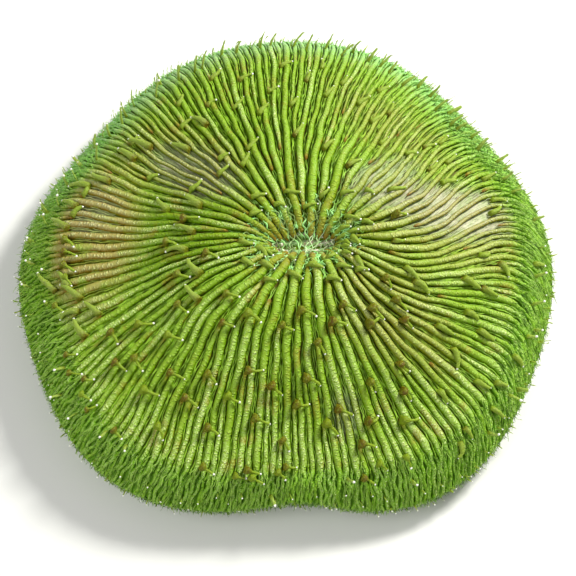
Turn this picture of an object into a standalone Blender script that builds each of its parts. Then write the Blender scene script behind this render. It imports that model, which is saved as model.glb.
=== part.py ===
"""A living mushroom coral: one free-lying polyp, grown and modelled as a single solid.

Metres, +Z up. The flat underside rests on Z = 0, and the origin is under the middle of
the outline. The near side of the coral, with the notch in its rim, faces -Y.

The upper surface is a net of columns and rings. A column runs from the mouth slit out to
the rim: every even column is the crest of a septum, a radiating ridge, and every odd one
is the valley beside it. A ring is a line round the mouth at one reach, where reach 0 is
the mouth slit and reach 1 is the widest line of the rim. Septa of higher orders start
further out, so the rings double their columns on the way.
"""

import math

import bmesh
import bpy
from mathutils import Vector

MM = 0.001

# Outline of the disc, seen from above: (waves round the rim, size, turn of a peak in degrees)
MEAN_RADIUS = 71.4 * MM
OUTLINE_WAVES = (
    (1, 1.4 * MM, 300),
    (2, 1.5 * MM, 90),
    (3, 2.4 * MM, 90),
    (5, 1.1 * MM, 18),
    (6, 1.1 * MM, 0),
)
DISC_CENTRE = Vector((-0.35 * MM, -2.4 * MM))
NOTCH_TURN = 274.0
NOTCH_WIDTH = 11.0
NOTCH_DEPTH = 1.8 * MM
NOTCH_LIFT = 3.5 * MM

# Mouth: a slit, a little off the middle of the disc
MOUTH_CENTRE = Vector((4.95 * MM, -5.4 * MM))
MOUTH_HALF_LENGTH = 6.8 * MM
MOUTH_HALF_WIDTH = 0.8 * MM

# Height of the septa's crests over the underside, at each reach from mouth to rim
CREST_HEIGHTS = (
    (0.00, 24.5 * MM),
    (0.05, 28.0 * MM),
    (0.12, 30.2 * MM),
    (0.25, 30.8 * MM),
    (0.38, 28.8 * MM),
    (0.50, 25.7 * MM),
    (0.62, 22.6 * MM),
    (0.74, 20.0 * MM),
    (0.85, 17.6 * MM),
    (0.93, 14.4 * MM),
    (1.00, 9.0 * MM),
)
BRIM_TILT = 2.4 * MM
BRIM_TILT_TURN = 135.0
BRIM_START, BRIM_FULL, BRIM_END = 0.50, 0.76, 1.00
RIM_WAVE = 1.8 * MM
RIM_WAVE_TURN = 24.0
RIM_WAVE_START = 0.80
NOTCH_LIFT_START = 0.86

# How far the septa swing round from straight spokes, in radians: (waves, size, turn of a peak)
MIDDLE_SWING = ((1, 0.060, 90), (2, 0.022, 135), (3, 0.025, 50))
S_SWING = ((0, -0.056, 0), (1, 0.104, 152), (2, 0.059, 90), (3, 0.051, 60))

# Septa: first-order ones reach the mouth, and each further order starts in the valleys
FIRST_ORDER_SEPTA = 24
SEPTUM_ORDERS = 4
COLUMNS = FIRST_ORDER_SEPTA * 2**SEPTUM_ORDERS
START_REACH = {1: (-1.0, -1.0), 2: (0.08, 0.20), 3: (0.25, 0.45), 4: (0.50, 0.80)}
RISE_REACH = {1: 0.1, 2: 0.15, 3: 0.17, 4: 0.17}
START_SCATTER = 0.12
LEAST_WIDTH = 0.3
GOLDEN_SHARE = 0.618034
VALLEY_DEPTHS = ((0.0, 1.0 * MM), (0.1, 1.7 * MM), (0.5, 1.5 * MM), (0.85, 1.1 * MM), (1.0, 0.7 * MM))

# Rings of the net, as (reach, every how many columns has a point there)
RINGS = (
    (0.00, 8),
    (0.03, 8),
    (0.07, 8),
    (0.12, 8),
    (0.17, 4),
    (0.21, 4),
    (0.26, 4),
    (0.31, 4),
    (0.36, 2),
    (0.42, 2),
    (0.48, 2),
    (0.54, 2),
    (0.61, 1),
    (0.69, 1),
    (0.78, 1),
    (0.87, 1),
    (0.94, 1),
    (1.00, 1),
)
# Below the rim the wall turns under to the flat underside: (share of the radius, height, step)
UNDER_RINGS = ((0.98, 5.4 * MM, 2), (0.92, 1.5 * MM, 4), (0.82, 0.0, 4))

# Tentacles, fused to the disc: short tapering fingers at the inner ends of septa and on the rim.
# Each goes out along its lean and turns at the bend, where its droop is added to the lean.
TENTACLE_WIDTHS = (0.9 * MM, 0.8 * MM, 0.45 * MM)
TENTACLE_BEND_AT = 0.55
TENTACLE_COLUMNS = {2: (8, 16), 3: (4, 16)}
TENTACLE_LENGTH = (3.2 * MM, 4.6 * MM)
TENTACLE_LEAN = 0.25
TENTACLE_DROOP = 0.9
RIM_TENTACLE_COLUMNS = (5, 16)
RIM_TENTACLE_LENGTH = (3.6 * MM, 4.8 * MM)
RIM_TENTACLE_LEAN = 1.6
RIM_TENTACLE_RISE = 0.4

TISSUE_GREEN = (0.22, 0.42, 0.06, 1.0)


def wave_sum(waves, turn):
    """Sum of cosine waves round the disc, for a turn in radians."""
    return sum(size * math.cos(count * (turn - math.radians(peak))) for count, size, peak in waves)


def smooth_step(low, high, value):
    """0 below low, 1 above high, and a smooth rise between them."""
    share = min(1.0, max(0.0, (value - low) / (high - low)))
    return share * share * (3 - 2 * share)


def curve_through(points, at):
    """Value at a place on the smooth curve through (place, value) points."""
    last = len(points) - 2
    i = next((k for k in range(last + 1) if at <= points[k + 1][0]), last)

    def slope(k):
        before, after = points[max(k - 1, 0)], points[min(k + 1, len(points) - 1)]
        return (after[1] - before[1]) / (after[0] - before[0])

    (x0, y0), (x1, y1) = points[i], points[i + 1]
    width = x1 - x0
    share = min(1.0, max(0.0, (at - x0) / width))
    square, cube = share**2, share**3
    return (
        y0 * (2 * cube - 3 * square + 1)
        + y1 * (3 * square - 2 * cube)
        + width * (slope(i) * (cube - 2 * square + share) + slope(i + 1) * (cube - square))
    )


def noise(index, seed):
    """A fixed number from 0 to 1 for a whole number, which looks random."""
    return (math.sin(index * 12.9898 + seed * 78.233) * 43758.5453) % 1.0


def notch(turn):
    """1 in the middle of the notch in the near rim, falling to 0 beside it."""
    away = (math.degrees(turn) - NOTCH_TURN + 180.0) % 360.0 - 180.0
    return math.exp(-((away / NOTCH_WIDTH) ** 2))


def outline_radius(turn):
    return MEAN_RADIUS + wave_sum(OUTLINE_WAVES, turn) - NOTCH_DEPTH * notch(turn)


def plan_point(turn, reach):
    """Where a septum at this turn is at this reach, seen from above."""
    bend = 4 * reach * (1 - reach)
    swung = turn + bend * wave_sum(MIDDLE_SWING, turn)
    swung += 2 * bend * (1 - 2 * reach) * wave_sum(S_SWING, turn)
    along, across = math.cos(swung), math.sin(swung)
    mouth = MOUTH_CENTRE + Vector((MOUTH_HALF_LENGTH * along, MOUTH_HALF_WIDTH * across))
    rim = DISC_CENTRE + outline_radius(turn) * Vector((along, across))
    return mouth.lerp(rim, reach)


def crest_height(turn, reach):
    height = curve_through(CREST_HEIGHTS, reach)
    on_brim = smooth_step(BRIM_START, BRIM_FULL, reach) * (1 - smooth_step(BRIM_FULL, BRIM_END, reach))
    height += BRIM_TILT * on_brim * math.cos(turn - math.radians(BRIM_TILT_TURN))
    at_edge = smooth_step(RIM_WAVE_START, 1.0, reach)
    height += RIM_WAVE * at_edge * math.cos(2 * (turn - math.radians(RIM_WAVE_TURN)))
    return height + NOTCH_LIFT * smooth_step(NOTCH_LIFT_START, 1.0, reach) * notch(turn)


def crest_point(turn, reach):
    """A point on the smooth surface over the septa's crests."""
    x, y = plan_point(turn, reach)
    return Vector((x, y, crest_height(turn, reach)))


def crest_normal(turn, reach):
    """Outward normal of the surface over the crests."""
    step = 0.01
    inner, outer = max(reach - step, 0.02), min(reach + step, 1.0)
    out = crest_point(turn, outer) - crest_point(turn, inner)
    middle = max(reach, 0.02)
    around = crest_point(turn + step, middle) - crest_point(turn - step, middle)
    return out.cross(around).normalized()


def septum_order(septum):
    """1 for the septa that reach the mouth, up to 4 for the shortest."""
    spacing = 2 ** (SEPTUM_ORDERS - 1)
    order = 1
    while septum % spacing:
        spacing //= 2
        order += 1
    return order


def septum_start(septum):
    """Reach at which a septum's inner end rises from its valley, spread evenly round the disc."""
    order = septum_order(septum)
    low, high = START_REACH[order]
    rank = septum >> (SEPTUM_ORDERS - order + 1)
    spread = rank * GOLDEN_SHARE % 1.0
    return low + (high - low) * (spread + START_SCATTER * (noise(septum, 1) - spread))


def septum_growth(septum, reach):
    """0 inside a septum's inner end, 1 where it has its full height and width."""
    start = septum_start(septum)
    return smooth_step(start, start + RISE_REACH[septum_order(septum)], reach)


def column_turns(reach, step):
    """Turn and growth of each column of a ring: a septum takes room in step with its growth."""
    growths = [0.0] * COLUMNS
    widths = [0.0] * COLUMNS
    for column in range(0, COLUMNS, 2 * step):
        growths[column] = septum_growth(column // 2, reach)
        widths[column] = max(growths[column], LEAST_WIDTH)
    unit = 2 * math.pi / sum(widths)
    turns, passed = [], -widths[0] / 2
    for width in widths:
        turns.append((passed + width / 2) * unit)
        passed += width
    return turns, growths


def ring_points(reach, step):
    """Points of one ring of the upper surface, with the crests standing over the valleys."""
    turns, growths = column_turns(reach, step)
    depth = curve_through(VALLEY_DEPTHS, reach)
    points = []
    for column in range(0, COLUMNS, step):
        turn = turns[column]
        sink = depth * (1 - growths[column])
        points.append(crest_point(turn, reach) - sink * crest_normal(turn, reach))
    return points


def under_points(share, height, step):
    """Points of one ring under the rim, on the outline drawn in to a share of its radius."""
    turns, _ = column_turns(1.0, 1)
    points = []
    for turn in turns[::step]:
        spoke = Vector((math.cos(turn), math.sin(turn)))
        points.append((DISC_CENTRE + share * outline_radius(turn) * spoke).to_3d())
        points[-1].z = height
    return points


def join_rings(mesh, inner, outer):
    """Faces between two rings, where one may have a whole multiple of the other's points."""
    few, many = sorted((inner, outer), key=len)
    ratio = len(many) // len(few)
    faces = []
    for i, start in enumerate(few):
        following = few[(i + 1) % len(few)]
        fan = [many[(i * ratio + k) % len(many)] for k in range(ratio + 1)]
        if ratio == 1:
            faces.append(mesh.faces.new((start, fan[0], fan[1], following)))
            continue
        half = ratio // 2
        for k in range(ratio):
            faces.append(mesh.faces.new((start if k < half else following, fan[k], fan[k + 1])))
        faces.append(mesh.faces.new((start, fan[half], following)))
    return faces


def square_round(centre, axis, side, width):
    """Corners of a square across an axis, in the order that runs round the axis."""
    across = axis.cross(side).normalized()
    along = across.cross(axis).normalized()
    signs = ((-0.5, -0.5), (0.5, -0.5), (0.5, 0.5), (-0.5, 0.5))
    return [centre + (s * along + a * across) * width for s, a in signs]


def grow_tentacle(mesh, face, direction, length, droop):
    """Turns one four-sided face into a tapering finger with a blunt tip, fused to the disc."""
    below = list(face.verts)
    corners = [vert.co for vert in below]
    side = corners[1] + corners[2] - corners[0] - corners[3]
    root = face.calc_center_median()
    bend = root + direction * length * TENTACLE_BEND_AT
    end_direction = (direction + droop).normalized()
    tip = bend + end_direction * length * (1 - TENTACLE_BEND_AT)
    stages = ((root, face.normal.copy()), (bend, direction), (tip, end_direction))
    mesh.faces.remove(face)
    for (centre, axis), width in zip(stages, TENTACLE_WIDTHS):
        above = [mesh.verts.new(point) for point in square_round(centre, axis, side, width)]
        for i in range(4):
            mesh.faces.new((below[i], below[i - 3], above[i - 3], above[i]))
        below = above
    mesh.faces.new(below)


def outward_from(centre, point):
    """Level direction of one unit from a centre to a point."""
    away = point.xy - centre
    return away.normalized().to_3d()


def pick_between(limits, index, seed):
    """A fixed length between two limits, which looks random."""
    return limits[0] + (limits[1] - limits[0]) * noise(index, seed)


def inner_tentacles(joined):
    """(face, direction, length, droop) of the fingers at the inner ends of some septa."""
    found = []
    for order, (first, gap) in TENTACLE_COLUMNS.items():
        for column in range(first, COLUMNS, gap):
            start = septum_start(column // 2)
            step = 2 ** (SEPTUM_ORDERS - order)
            band = next(
                i
                for i, ((reach, here), (_, beyond)) in enumerate(zip(RINGS, RINGS[1:]))
                if reach > start and here == beyond == step
            )
            face = joined[band][column // step]
            outward = outward_from(MOUTH_CENTRE, face.calc_center_median())
            direction = (face.normal + TENTACLE_LEAN * outward).normalized()
            length = pick_between(TENTACLE_LENGTH, column, 7)
            found.append((face, direction, length, TENTACLE_DROOP * outward))
    return found


def rim_tentacles(joined):
    """(face, direction, length, droop) of the fingers that stand out round the rim."""
    found = []
    first, gap = RIM_TENTACLE_COLUMNS
    for column in range(first, COLUMNS, gap):
        face = joined[len(RINGS) - 2][column]
        outward = outward_from(DISC_CENTRE, face.calc_center_median())
        direction = (face.normal + RIM_TENTACLE_LEAN * outward).normalized()
        length = pick_between(RIM_TENTACLE_LENGTH, column, 5)
        found.append((face, direction, length, Vector((0, 0, RIM_TENTACLE_RISE))))
    return found


def tissue_material():
    material = bpy.data.materials.new("living_tissue")
    material.use_nodes = True
    shader = material.node_tree.nodes["Principled BSDF"]
    shader.inputs["Base Color"].default_value = TISSUE_GREEN
    shader.inputs["Roughness"].default_value = 0.45
    shader.inputs["Metallic"].default_value = 0.0
    return material


def build_coral():
    mesh = bmesh.new()
    outlines = [ring_points(reach, step) for reach, step in RINGS]
    outlines += [under_points(share, height, step) for share, height, step in UNDER_RINGS]
    rings = [[mesh.verts.new(point) for point in points] for points in outlines]
    joined = [join_rings(mesh, inner, outer) for inner, outer in zip(rings, rings[1:])]
    mesh.faces.new(rings[0])
    mesh.faces.new(rings[-1])
    bmesh.ops.recalc_face_normals(mesh, faces=mesh.faces)
    mesh.normal_update()
    for tentacle in inner_tentacles(joined) + rim_tentacles(joined):
        grow_tentacle(mesh, *tentacle)
    bmesh.ops.recalc_face_normals(mesh, faces=mesh.faces)
    bmesh.ops.triangulate(mesh, faces=mesh.faces)
    data = bpy.data.meshes.new("coral")
    mesh.to_mesh(data)
    mesh.free()
    data.materials.append(tissue_material())
    data.shade_smooth()
    data.set_sharp_from_angle(angle=math.radians(60))
    coral = bpy.data.objects.new("coral", data)
    bpy.context.scene.collection.objects.link(coral)


def main():
    for old in list(bpy.data.objects):
        bpy.data.objects.remove(old)
    build_coral()


main()
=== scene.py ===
"""The finished look of a living mushroom coral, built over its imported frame.

Metres, +Z up, in the frame's own place: the flat underside on Z = 0, the near rim with its
shallow notch towards -Y, the mouth slit along X. A place on the form is a turn round the
mouth, in radians, and a reach: 0 at the mouth slit, 1 at the widest line of the rim, more than
1 on the wall and the underside below it. Septa, threads, tentacles and costae are all laid out
in turn and reach, and swept into flesh by Geometry Nodes.
"""

import logging
import math
from dataclasses import astuple, dataclass, field
from enum import Enum

import bmesh
import bpy
import numpy as np
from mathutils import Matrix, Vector


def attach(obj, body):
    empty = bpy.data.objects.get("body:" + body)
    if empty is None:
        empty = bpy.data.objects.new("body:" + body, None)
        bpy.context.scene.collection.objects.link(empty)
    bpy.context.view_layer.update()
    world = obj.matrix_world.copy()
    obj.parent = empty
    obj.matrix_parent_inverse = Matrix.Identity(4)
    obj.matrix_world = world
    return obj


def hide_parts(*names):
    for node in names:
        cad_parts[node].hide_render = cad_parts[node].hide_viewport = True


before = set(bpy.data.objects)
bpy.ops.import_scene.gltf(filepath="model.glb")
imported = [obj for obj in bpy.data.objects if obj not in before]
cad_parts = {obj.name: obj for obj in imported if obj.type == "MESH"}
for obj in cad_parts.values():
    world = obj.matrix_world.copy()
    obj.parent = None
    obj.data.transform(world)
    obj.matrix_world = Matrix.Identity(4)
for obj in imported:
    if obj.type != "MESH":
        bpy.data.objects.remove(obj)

MM = 0.001
GOLDEN = 0.618034
TURN_STEP = 0.004
BODY = "root"

log = logging.getLogger("mushroom_coral")

Colour = tuple[float, float, float]
Array = np.ndarray
Material = bpy.types.Material
Object = bpy.types.Object
Socket = bpy.types.NodeSocket


def smooth_step(low: float, high: float, value: Array | float) -> Array:
    """Returns a smooth rise from 0 where the value is low to 1 where it is high."""
    share = np.clip((np.asarray(value, float) - low) / (high - low), 0.0, 1.0)
    return share * share * (3 - 2 * share)


def unit(vectors: Array) -> Array:
    """Returns the vectors scaled to a length of one."""
    return vectors / np.maximum(np.linalg.norm(vectors, axis=-1, keepdims=True), 1e-12)


def hash_share(index: Array | float, seed: float) -> Array:
    """Returns a fixed number from 0 to 1 for each whole number, which looks random."""
    return (np.sin(np.asarray(index, float) * 12.9898 + seed * 78.233) * 43758.5453) % 1.0


def travelled(points: Array) -> Array:
    """Returns the distance from the first point along the others, at each of them."""
    return np.concatenate([[0.0], np.cumsum(np.linalg.norm(np.diff(points, axis=0), axis=1))])


def between(ends: tuple[float, float], share: Array | float) -> Array | float:
    """Returns the number that lies this share of the way between two ends."""
    return ends[0] + (ends[1] - ends[0]) * share


def from_ends(count: int) -> Array:
    """Returns how many steps each point of a row is from the nearer end."""
    return np.minimum(np.arange(count), np.arange(count)[::-1])


def link(name: str, data: bpy.types.ID) -> Object:
    """Links a new object to the scene, at the origin.

    Args:
        name: Its name.
        data: Its mesh, light or camera.

    Returns:
        The object.
    """
    obj = bpy.data.objects.new(name, data)
    bpy.context.scene.collection.objects.link(obj)
    return obj


def store(mesh: bpy.types.Mesh, name: str, values: Array) -> None:
    """Stores a row of numbers, or of vectors, on the points of a mesh under this name."""
    kind, key = ("FLOAT_VECTOR", "vector") if values.ndim == 2 else ("FLOAT", "value")
    mesh.attributes.new(name, kind, "POINT").data.foreach_set(key, values.astype(np.float32).ravel())


@dataclass(frozen=True)
class Curve:
    """A smooth curve through points, each a place and a value in this unit."""

    points: tuple[tuple[float, float], ...]
    unit: float = 1.0

    def at(self, place: Array | float) -> Array:
        """Reads the curve.

        Args:
            place: Where to read it. It keeps its end values outside its points.

        Returns:
            The values there, with the shape of place.
        """
        places = np.array([p for p, _ in self.points])
        values = np.array([v for _, v in self.points]) * self.unit
        last = len(places) - 1
        before = np.maximum(np.arange(last + 1) - 1, 0)
        after = np.minimum(np.arange(last + 1) + 1, last)
        slopes = (values[after] - values[before]) / (places[after] - places[before])
        i = np.clip(np.searchsorted(places, place) - 1, 0, last - 1)
        width = places[i + 1] - places[i]
        share = np.clip((place - places[i]) / width, 0.0, 1.0)
        square, cube = share**2, share**3
        return (
            values[i] * (2 * cube - 3 * square + 1)
            + values[i + 1] * (3 * square - 2 * cube)
            + width * (slopes[i] * (cube - 2 * square + share) + slopes[i + 1] * (cube - square))
        )


@dataclass(frozen=True)
class Waves:
    """A sum of cosine waves round the disc, each with its count, size and peak in degrees."""

    parts: tuple[tuple[int, float, float], ...]
    unit: float = 1.0

    def at(self, turn: Array) -> Array:
        """Returns the sum of the waves at these turns."""
        return sum(size * self.unit * np.cos(n * (turn - math.radians(peak))) for n, size, peak in self.parts)


@dataclass(frozen=True)
class DiscShape:
    """The smooth surface over the crests, from the mouth over the rim to the underside."""

    mean_radius: float = 71.4 * MM
    outline: Waves = Waves(((1, 1.4, 300), (2, 1.5, 90), (3, 2.4, 90), (5, 1.1, 18), (6, 1.1, 0)), MM)
    disc_centre: tuple[float, float] = (-0.35 * MM, -2.4 * MM)
    mouth_centre: tuple[float, float] = (4.95 * MM, -5.4 * MM)
    mouth_half: tuple[float, float] = (6.8 * MM, 0.8 * MM)
    heights: Curve = Curve(
        (
            *((0.00, 24.5), (0.05, 28.0), (0.12, 30.2), (0.25, 30.8), (0.38, 28.8), (0.50, 25.7)),
            *((0.62, 22.6), (0.74, 20.0), (0.85, 17.6), (0.93, 14.4), (1.00, 9.0)),
        ),
        MM,
    )
    under_share: Curve = Curve(
        ((1.00, 1.0), (1.05, 0.985), (1.12, 0.93), (1.24, 0.83), (1.60, 0.50), (2.10, 0.02))
    )
    under_drop: Curve = Curve(
        ((1.00, 0.0), (1.05, 0.38), (1.12, 0.80), (1.24, 0.985), (1.30, 1.0), (2.10, 1.0))
    )
    brim_tilt: float = 2.4 * MM
    brim_tilt_turn: float = 135.0
    rim_wave: float = 1.8 * MM
    rim_wave_turn: float = 24.0
    notch_turn: float = 274.0
    notch_width: float = 11.0
    notch_depth: float = 1.8 * MM
    notch_lift: float = 3.5 * MM
    skirt_begin: float = 0.890
    skirt_sides: float = 0.045
    skirt_east: float = 0.015
    skirt_far: float = 0.075
    middle_swing: Waves = Waves(((1, 0.060, 90), (2, 0.022, 135), (3, 0.025, 50)))
    s_swing: Waves = Waves(((0, -0.056, 0), (1, 0.104, 152), (2, 0.059, 90), (3, 0.051, 60)))

    def notch(self, turn: Array) -> Array:
        """Returns 1 in the middle of the notch in the near rim, falling to 0 beside it."""
        away = (np.degrees(turn) - self.notch_turn + 180.0) % 360.0 - 180.0
        return np.exp(-((away / self.notch_width) ** 2))

    def radius(self, turn: Array) -> Array:
        """Returns the radius of the widest line of the rim."""
        return self.mean_radius + self.outline.at(turn) - self.notch_depth * self.notch(turn)

    def on_skirt(self, turn: Array, reach: Array) -> Array:
        """Tells the furry wall, which starts further in at the sides, from the disc.

        Args:
            turn: Turns round the mouth.
            reach: Reaches.

        Returns:
            0 on the disc and 1 on the wall.
        """
        begin = self.skirt_begin - self.skirt_sides * np.abs(np.cos(turn)) - self.skirt_east * np.cos(turn)
        begin = begin + self.skirt_far * smooth_step(0.35, 0.95, np.sin(turn))
        return smooth_step(-0.03, 0.04, reach - begin)

    def swung(self, turn: Array, reach: Array) -> Array:
        """Returns the turn that a septum has reached after swinging from its straight spoke."""
        bend = 4 * reach * (1 - reach)
        return turn + bend * self.middle_swing.at(turn) + 2 * bend * (1 - 2 * reach) * self.s_swing.at(turn)

    def surface(self, turn: Array, reach: Array) -> Array:
        """Points of the surface over the crests.

        Args:
            turn: Turns round the mouth.
            reach: Reaches.

        Returns:
            An array of points, with x, y and z in its last axis.
        """
        turn, reach = np.broadcast_arrays(np.asarray(turn, float), np.asarray(reach, float))
        inside = np.clip(reach, 0.0, 1.0)
        at = self.swung(turn, inside)
        radius = np.where(reach > 1, self.under_share.at(reach), 1.0) * self.radius(turn)
        plane = []
        for axis, side in enumerate((np.cos(at), np.sin(at))):
            mouth = self.mouth_centre[axis] + self.mouth_half[axis] * side
            plane.append(mouth + inside * (self.disc_centre[axis] + radius * side - mouth))
        on_brim = smooth_step(0.50, 0.76, reach) * (1 - smooth_step(0.76, 1.0, reach))
        rim_wave = np.cos(2 * (turn - math.radians(self.rim_wave_turn)))
        z = self.heights.at(inside)
        z = z + self.brim_tilt * on_brim * np.cos(turn - math.radians(self.brim_tilt_turn))
        z = z + self.rim_wave * smooth_step(0.80, 1.0, reach) * rim_wave
        z = z + self.notch_lift * smooth_step(0.86, 1.0, reach) * self.notch(turn)
        return np.stack([*plane, z * (1 - np.where(reach > 1, self.under_drop.at(reach), 0.0))], axis=-1)

    def frame_at(self, turn: Array, reach: Array) -> tuple[Array, Array, Array]:
        """Directions on the surface.

        Args:
            turn: Turns round the mouth.
            reach: Reaches.

        Returns:
            Unit vectors: outwards along a septum, round the disc, and out of the surface.
        """
        turn, reach = np.broadcast_arrays(np.asarray(turn, float), np.asarray(reach, float))
        step, middle = 0.006, np.clip(reach, 0.02, 2.08)
        along = unit(self.surface(turn, middle + step) - self.surface(turn, middle - step))
        around = unit(self.surface(turn + step, middle) - self.surface(turn - step, middle))
        return along, around, unit(np.cross(along, around))

    def around_size(self, turn: Array, reach: Array) -> Array:
        """Returns the length on the surface of one radian of turn."""
        ahead, behind = self.surface(turn + TURN_STEP, reach), self.surface(turn - TURN_STEP, reach)
        return np.linalg.norm(ahead - behind, axis=-1) / (2 * TURN_STEP)


class Tissue(Enum):
    """How the disc differs from place to place: stretched pale, tanned, darker olive, or with broad septa."""

    PALE = "pale"
    TAN = "tan"
    DUSK = "dusk"
    BROAD = "broad"


@dataclass(frozen=True)
class Zone:
    """A soft-edged oval on the disc, seen from above, in millimetres and degrees."""

    centre: tuple[float, float]
    half_size: tuple[float, float]
    tilt: float
    strength: float

    def at(self, points: Array) -> Array:
        """Reads the zone.

        Args:
            points: Where to read it.

        Returns:
            Its strength there, fading out past its oval.
        """
        x, y = points[..., 0] - self.centre[0] * MM, points[..., 1] - self.centre[1] * MM
        cos, sin = math.cos(math.radians(self.tilt)), math.sin(math.radians(self.tilt))
        along, across = (x * cos + y * sin) / self.half_size[0], (y * cos - x * sin) / self.half_size[1]
        return self.strength * (1 - smooth_step(0.45, 1.25, np.hypot(along, across) / MM))


ZONES: dict[Tissue, tuple[Zone, ...]] = {
    Tissue.PALE: (
        Zone((44, 6), (19, 10), 8, 0.78),
        Zone((26, 13), (13, 7), 40, 0.52),
        Zone((-24, 17), (15, 8), 145, 0.6),
        Zone((-50, 8), (9, 9), 0, 0.35),
        Zone((15, -50), (6, 4), 90, 0.35),
    ),
    Tissue.TAN: (
        Zone((-50, 0), (14, 24), -8, 1.0),
        Zone((-26, 20), (22, 12), 145, 0.55),
        Zone((40, 0), (26, 15), 0, 0.5),
        Zone((30, 30), (26, 10), -45, 0.4),
        Zone((28, -26), (20, 13), -40, 0.55),
    ),
    # A darker olive patch on the left inner disc.
    Tissue.DUSK: (Zone((-27, -1), (19, 18), 0, 0.95),),
    Tissue.BROAD: (Zone((-50, -3), (17, 27), -8, 1.0),),
}


def tissue(kind: Tissue, points: Array) -> Array:
    """Returns how strongly the tissue is of this kind at these points, from 0 to 1."""
    return np.clip(sum(zone.at(points) for zone in ZONES[kind]), 0.0, 1.0)


@dataclass(frozen=True)
class Cycle:
    """A cycle of septa: where its threads and its septa start, and how wide they grow."""

    thread_start: float
    start: tuple[float, float]
    full_width: float


@dataclass
class SeptaLines:
    """Every septum and thread as a line over the disc: arrays of lines by reaches."""

    reaches: Array
    turn: Array
    points: Array
    along: Array
    around: Array
    normal: Array
    width: Array
    spacing: Array
    grown: Array
    thread: Array
    orders: Array
    starts: Array


@dataclass(frozen=True)
class SeptaLayout:
    """Turn, width and growth of every septum at every reach.

    Lines are numbered round the mouth. An even line is a septum of one of the first four
    cycles. An odd line is a thread between two septa, which grows into a fine ridge of its own
    on the rim. Before a septum starts, its line is a thread too.
    """

    shape: DiscShape
    first_count: int = 24
    cycles: tuple[Cycle, ...] = (
        Cycle(-1.0, (-1.0, -1.0), 1.20),
        Cycle(0.02, (0.08, 0.20), 1.15),
        Cycle(0.06, (0.25, 0.45), 1.00),
        Cycle(0.24, (0.50, 0.80), 0.76),
        Cycle(0.46, (0.84, 0.90), 0.60),
    )
    skirt_width: float = 0.60
    start_scatter: float = 0.12
    stretched_reach: float = 0.62
    thread_width: float = 0.17
    thread_scatter: float = 0.10
    make_room: float = 0.06
    rise: float = 0.14
    wander: float = 0.10 * MM
    sways: tuple[tuple[float, int], ...] = ((0.14, 11), (0.36, 12))
    last_reach: float = 1.20
    reach_step: float = 0.0065

    def orders(self) -> Array:
        """Numbers the cycles.

        Returns:
            The cycle of every line, from 1 for the longest septa to 5.
        """
        lines = np.arange(self.first_count * 2 ** (len(self.cycles) - 1))
        orders = np.full(len(lines), len(self.cycles))
        for order in range(len(self.cycles) - 1, 0, -1):
            orders[lines % 2 ** (len(self.cycles) - order) == 0] = order
        return orders

    def starts(self) -> tuple[Array, Array]:
        """Spreads the inner ends.

        Returns:
            The reach where each line makes room for itself, and the reach where its flesh
            starts, which is later in stretched tissue and among broad septa.
        """
        orders = self.orders()
        lines, starts = np.arange(len(orders)), np.empty(len(orders))
        for order, cycle in enumerate(self.cycles, 1):
            mine = orders == order
            spread = np.arange(mine.sum()) * GOLDEN % 1.0
            spread += self.start_scatter * (hash_share(lines[mine] // 2, 1) - spread)
            starts[mine] = between(cycle.start, spread)
        fourth, flesh = orders == len(self.cycles) - 1, starts.copy()
        there = self.shape.surface(lines[fourth] * 2 * math.pi / len(lines), self.stretched_reach)
        stretched = np.clip(tissue(Tissue.PALE, there) + tissue(Tissue.BROAD, there), 0.0, 1.0)
        flesh[fourth] += (self.cycles[-2].start[1] - starts[fourth]) * stretched
        return starts, flesh

    def lay(self) -> SeptaLines:
        """Works out where every line runs.

        Returns:
            The lines, with their points, directions and widths.
        """
        reaches = np.arange(0.0, self.last_reach + self.reach_step / 2, self.reach_step)
        orders, (starts, flesh_starts) = self.orders(), self.starts()
        grown = np.clip((reaches - starts[:, None] + self.make_room) / (self.make_room + self.rise), 0, 1)
        grown = smooth_step(0.0, 1.0, grown)
        thread = np.empty_like(grown)
        for order, cycle in enumerate(self.cycles, 1):
            mine = orders == order
            jitter = self.thread_scatter * (np.arange(mine.sum())[:, None] * GOLDEN % 1.0 - 0.5)
            thread[mine] = smooth_step(0.0, 0.06, reaches - cycle.thread_start - jitter)
        least = self.thread_width * thread
        full = np.array([cycle.full_width for cycle in self.cycles])[orders - 1][:, None]
        full = full + (self.skirt_width - full) * smooth_step(0.82, 0.95, reaches)
        width = np.maximum(least + (full - least) * grown, 1e-4)
        unit_turn = 2 * math.pi / width.sum(axis=0)
        turn = (np.cumsum(width, axis=0) - width / 2 - width[:1] / 2) * unit_turn
        reaches = np.broadcast_to(reaches, turn.shape)
        sway = np.zeros_like(turn)
        for period, seed in self.sways:
            phase = 2 * math.pi * hash_share(np.arange(len(orders))[:, None], seed)
            sway += np.sin(2 * math.pi * reaches / period + phase)
        size = self.shape.around_size(turn, reaches)
        turn = turn + self.wander / np.maximum(size, 4 * MM) * sway * smooth_step(0.03, 0.2, reaches)
        points = self.shape.surface(turn, reaches)
        along, around, normal = self.shape.frame_at(turn, reaches)
        spacing = np.broadcast_to(unit_turn, turn.shape) * size
        return SeptaLines(
            reaches, turn, points, along, around, normal, width, spacing, grown, thread, orders, flesh_starts
        )


VALLEY_DEPTH = Curve(((0.0, 1.1), (0.1, 1.9), (0.5, 1.75), (0.85, 1.35), (1.0, 0.9), (1.2, 0.5)), MM)


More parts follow.
